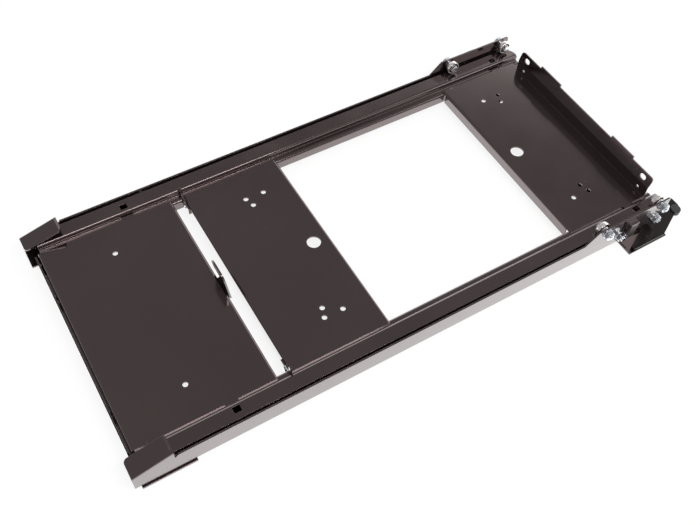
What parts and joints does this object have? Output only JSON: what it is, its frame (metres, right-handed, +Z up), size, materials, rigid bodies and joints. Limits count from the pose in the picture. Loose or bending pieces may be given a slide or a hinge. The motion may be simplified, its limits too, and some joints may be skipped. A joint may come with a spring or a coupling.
{
  "type": "fridge slide",
  "caption": "Roller-borne sheet metal tray that slides out of a fixed floor frame to carry a portable fridge, with a finger latch and a front lock lever.",
  "frame": {"origin": "middle of the outline on the floor, under the slide", "axes": "+X the way the tray slides out, +Y to the right of a user who faces the slide from its front end, +Z up"},
  "size_m": [1.102, 0.56, 0.087],
  "materials": {
    "powder_coat": "smooth satin brown-black powder coat",
    "zinc_plate": "bright zinc plate",
    "bearing_steel": "ground bearing steel",
    "rubber": "matt black rubber"
  },
  "bodies": {
    "base": {"left_base_rail": "powder_coat", "right_base_rail": "powder_coat", "back_cross_strap": "powder_coat", "front_cross_strap": "powder_coat", "roller_inner_races": "bearing_steel", "upper_roller_bolts": "zinc_plate", "lower_roller_bolts": "zinc_plate", "roller_spacers": "zinc_plate", "roller_washers": "zinc_plate", "roller_nuts": "zinc_plate", "wall_lugs": "powder_coat", "home_bumpers": "rubber", "base_stops": "powder_coat", "lever_pivot_stud": "zinc_plate", "lever_wave_washer": "zinc_plate", "lever_retaining_ring": "zinc_plate"},
    "tray": {"left_tray_rail": "powder_coat", "right_tray_rail": "powder_coat", "back_plate": "powder_coat", "middle_plate": "powder_coat", "front_plate": "powder_coat", "strap_hooks": "powder_coat", "strap_hook_rivets": "zinc_plate", "tray_roller_inner_races": "bearing_steel", "tray_roller_bolts": "zinc_plate", "tray_roller_spacers": "zinc_plate", "tray_roller_nuts": "zinc_plate", "tray_stops": "powder_coat", "tray_stop_pads": "rubber"},
    "latch": {"latch_bar": "zinc_plate", "left_latch_dog": "powder_coat", "right_latch_dog": "powder_coat", "finger_tab": "powder_coat"},
    "lever": {"lock_lever": "powder_coat", "lock_pin": "zinc_plate", "lever_grip": "rubber"},
    "left_upper_back_roller_body": {"left_upper_back_roller": "bearing_steel"},
    "left_upper_front_roller_body": {"left_upper_front_roller": "bearing_steel"},
    "left_lower_back_roller_body": {"left_lower_back_roller": "bearing_steel"},
    "left_lower_front_roller_body": {"left_lower_front_roller": "bearing_steel"},
    "right_upper_back_roller_body": {"right_upper_back_roller": "bearing_steel"},
    "right_upper_front_roller_body": {"right_upper_front_roller": "bearing_steel"},
    "right_lower_back_roller_body": {"right_lower_back_roller": "bearing_steel"},
    "right_lower_front_roller_body": {"right_lower_front_roller": "bearing_steel"},
    "left_tray_roller_body": {"left_tray_roller": "bearing_steel"},
    "right_tray_roller_body": {"right_tray_roller": "bearing_steel"}
  },
  "joints": [
    {"name": "tray_slide", "type": "slide", "parent": "base", "child": "tray", "axis": [1, 0, 0], "range_m": [0, 0.74]},
    {"name": "latch_turn", "type": "hinge", "parent": "tray", "child": "latch", "pos_m": [-0.301, 0, 0.0225], "axis": [0, 1, 0], "range_deg": [-8, 18], "stiffness_Nm_per_rad": 0.6},
    {"name": "lock_lever_turn", "type": "hinge", "parent": "base", "child": "lever", "pos_m": [0.445, -0.231, 0.008], "axis": [0, 0, 1], "range_deg": [-15, 5]},
    {"name": "left_upper_back_roller_spin", "type": "hinge", "parent": "base", "child": "left_upper_back_roller_body", "pos_m": [0.347, -0.2345, 0.0593], "axis": [0, 1, 0], "continuous": true},
    {"name": "left_upper_front_roller_spin", "type": "hinge", "parent": "base", "child": "left_upper_front_roller_body", "pos_m": [0.4785, -0.2345, 0.0593], "axis": [0, 1, 0], "continuous": true},
    {"name": "left_lower_back_roller_spin", "type": "hinge", "parent": "base", "child": "left_lower_back_roller_body", "pos_m": [0.386, -0.2345, 0.0297], "axis": [0, 1, 0], "continuous": true},
    {"name": "left_lower_front_roller_spin", "type": "hinge", "parent": "base", "child": "left_lower_front_roller_body", "pos_m": [0.4715, -0.2345, 0.0297], "axis": [0, 1, 0], "continuous": true},
    {"name": "right_upper_back_roller_spin", "type": "hinge", "parent": "base", "child": "right_upper_back_roller_body", "pos_m": [0.347, 0.2345, 0.0593], "axis": [0, 1, 0], "continuous": true},
    {"name": "right_upper_front_roller_spin", "type": "hinge", "parent": "base", "child": "right_upper_front_roller_body", "pos_m": [0.4785, 0.2345, 0.0593], "axis": [0, 1, 0], "continuous": true},
    {"name": "right_lower_back_roller_spin", "type": "hinge", "parent": "base", "child": "right_lower_back_roller_body", "pos_m": [0.386, 0.2345, 0.0297], "axis": [0, 1, 0], "continuous": true},
    {"name": "right_lower_front_roller_spin", "type": "hinge", "parent": "base", "child": "right_lower_front_roller_body", "pos_m": [0.4715, 0.2345, 0.0297], "axis": [0, 1, 0], "continuous": true},
    {"name": "left_tray_roller_spin", "type": "hinge", "parent": "tray", "child": "left_tray_roller_body", "pos_m": [-0.489, -0.2345, 0.0193], "axis": [0, 1, 0], "continuous": true},
    {"name": "right_tray_roller_spin", "type": "hinge", "parent": "tray", "child": "right_tray_roller_body", "pos_m": [-0.489, 0.2345, 0.0193], "axis": [0, 1, 0], "continuous": true}
  ],
  "couplings": [
    {"joint": "left_upper_back_roller_spin", "follows": "tray_slide", "rad_per_m": -76.923},
    {"joint": "left_upper_front_roller_spin", "follows": "tray_slide", "rad_per_m": -76.923},
    {"joint": "left_lower_back_roller_spin", "follows": "tray_slide", "rad_per_m": 76.923},
    {"joint": "left_lower_front_roller_spin", "follows": "tray_slide", "rad_per_m": 76.923},
    {"joint": "right_upper_back_roller_spin", "follows": "tray_slide", "rad_per_m": -76.923},
    {"joint": "right_upper_front_roller_spin", "follows": "tray_slide", "rad_per_m": -76.923},
    {"joint": "right_lower_back_roller_spin", "follows": "tray_slide", "rad_per_m": 76.923},
    {"joint": "right_lower_front_roller_spin", "follows": "tray_slide", "rad_per_m": 76.923},
    {"joint": "left_tray_roller_spin", "follows": "tray_slide", "rad_per_m": 76.923},
    {"joint": "right_tray_roller_spin", "follows": "tray_slide", "rad_per_m": 76.923}
  ]
}
